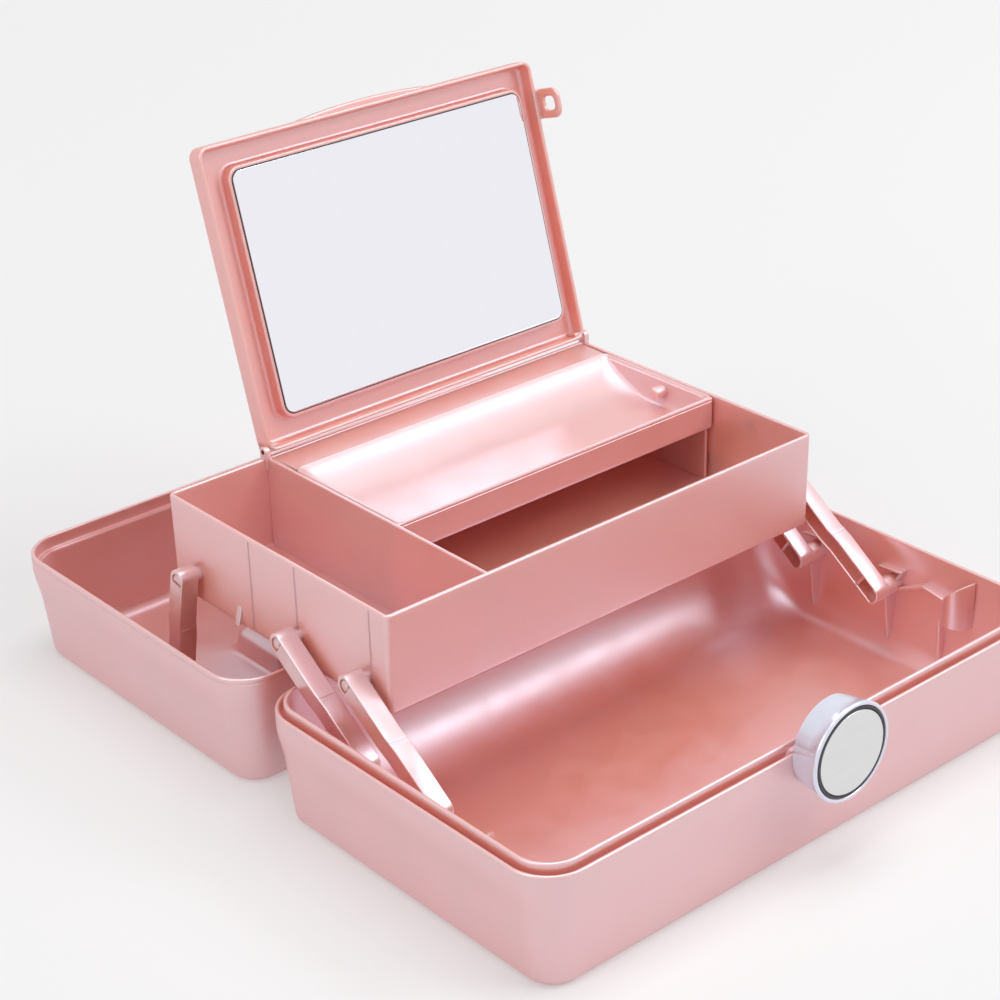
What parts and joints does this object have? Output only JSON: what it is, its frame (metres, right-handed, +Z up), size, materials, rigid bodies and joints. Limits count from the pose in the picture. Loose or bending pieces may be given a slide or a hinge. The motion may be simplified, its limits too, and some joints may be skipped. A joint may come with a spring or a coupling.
{
  "type": "makeup storage case",
  "caption": "Clamshell makeup case lying open, with a tray raised on folding arms, a mirror lid, a scoop shelf, a round push latch and a fold-away handle.",
  "frame": {"origin": "centre of the base tub's flat underside, on the table", "axes": "+X to the case's right, +Y to the rear towards the opened lid, +Z up"},
  "size_m": [0.331, 0.419, 0.2659],
  "materials": {
    "pearl_shell": "injection-moulded pearl rose plastic, satin gloss",
    "pearl_tray": "the same pearl plastic, seen through thinner walls",
    "pearl_arm": "pearl rose plastic on small mouldings",
    "pearl_latch": "pale pearl plastic, high gloss",
    "mirror_glass": "silvered flat glass with rounded corners",
    "backing_tape": "dark foam mounting tape",
    "silver_plate": "satin bright metal disc",
    "dark_ring": "dark gloss liner ring",
    "steel": "bright steel wire and pin stock"
  },
  "bodies": {
    "base": {"base_pivot_pins_left": "pearl_arm", "base_pivot_pins_right": "pearl_arm", "base_shell": "pearl_shell", "button_ring": "dark_ring", "hinge_pin_left": "steel", "hinge_pin_right": "steel", "latch_hook_pin": "steel", "latch_housing": "pearl_latch", "latch_springs": "steel"},
    "lid": {"handle_pin_left": "steel", "handle_pin_right": "steel", "lid_pivot_pin_left": "pearl_arm", "lid_pivot_pin_right": "pearl_arm", "lid_shell": "pearl_shell"},
    "front_arms": {"front_arm_left": "pearl_arm", "front_arm_right": "pearl_arm"},
    "middle_arms": {"middle_arm_left": "pearl_arm", "middle_arm_right": "pearl_arm"},
    "rear_arms": {"rear_arm_left": "pearl_arm", "rear_arm_right": "pearl_arm"},
    "tray": {"tray_box": "pearl_tray", "scoop_shelf": "pearl_tray", "mirror_pin_left": "steel", "mirror_pin_right": "steel"},
    "mirror_lid": {"mirror_lid": "pearl_tray", "mirror_glass": "mirror_glass", "mirror_adhesive": "backing_tape"},
    "handle": {"carry_handle": "pearl_shell"},
    "latch_button": {"latch_button": "pearl_arm", "button_plate": "silver_plate"},
    "latch_hook": {"latch_hook": "pearl_arm"}
  },
  "joints": [
    {"name": "lid_hinge", "type": "hinge", "parent": "base", "child": "lid", "pos_m": [0, 0.10475, 0.06], "axis": [1, 0, 0], "range_deg": [0, 180]},
    {"name": "front_arm_pivot", "type": "hinge", "parent": "base", "child": "front_arms", "pos_m": [0, -0.003, 0.041], "axis": [1, 0, 0], "range_deg": [0, 134.1]},
    {"name": "tray_pivot", "type": "hinge", "parent": "front_arms", "child": "tray", "pos_m": [0, 0.0525, 0.0807], "axis": [1, 0, 0], "range_deg": [-134.1, 0]},
    {"name": "middle_arm_pivot", "type": "hinge", "parent": "base", "child": "middle_arms", "pos_m": [0, 0.0476, 0.041], "axis": [1, 0, 0], "range_deg": [0, 134.1]},
    {"name": "rear_arm_pivot", "type": "hinge", "parent": "lid", "child": "rear_arms", "pos_m": [0, 0.195, 0.025], "axis": [1, 0, 0], "range_deg": [0, 32.4]},
    {"name": "mirror_hinge", "type": "hinge", "parent": "tray", "child": "mirror_lid", "pos_m": [0, 0.203, 0.1205], "axis": [1, 0, 0], "range_deg": [0, 106.2]},
    {"name": "handle_pivot", "type": "hinge", "parent": "lid", "child": "handle", "pos_m": [0, 0.193, 0.0068], "axis": [1, 0, 0], "range_deg": [-95, 0]},
    {"name": "latch_press", "type": "slide", "parent": "base", "child": "latch_button", "axis": [0, 1, 0], "range_m": [0, 0.002], "stiffness_N_per_m": 300},
    {"name": "hook_pivot", "type": "hinge", "parent": "base", "child": "latch_hook", "pos_m": [0, -0.1028, 0.052], "axis": [1, 0, 0], "range_deg": [0, 11.5]}
  ],
  "couplings": [
    {"joint": "front_arm_pivot", "follows": "lid_hinge", "ratio": 0.745},
    {"joint": "tray_pivot", "follows": "lid_hinge", "ratio": -0.745},
    {"joint": "middle_arm_pivot", "follows": "lid_hinge", "ratio": 0.745},
    {"joint": "rear_arm_pivot", "follows": "lid_hinge", "ratio": 0.18},
    {"joint": "mirror_hinge", "follows": "lid_hinge", "ratio": 0.59},
    {"joint": "hook_pivot", "follows": "latch_press", "rad_per_m": 100.3}
  ]
}
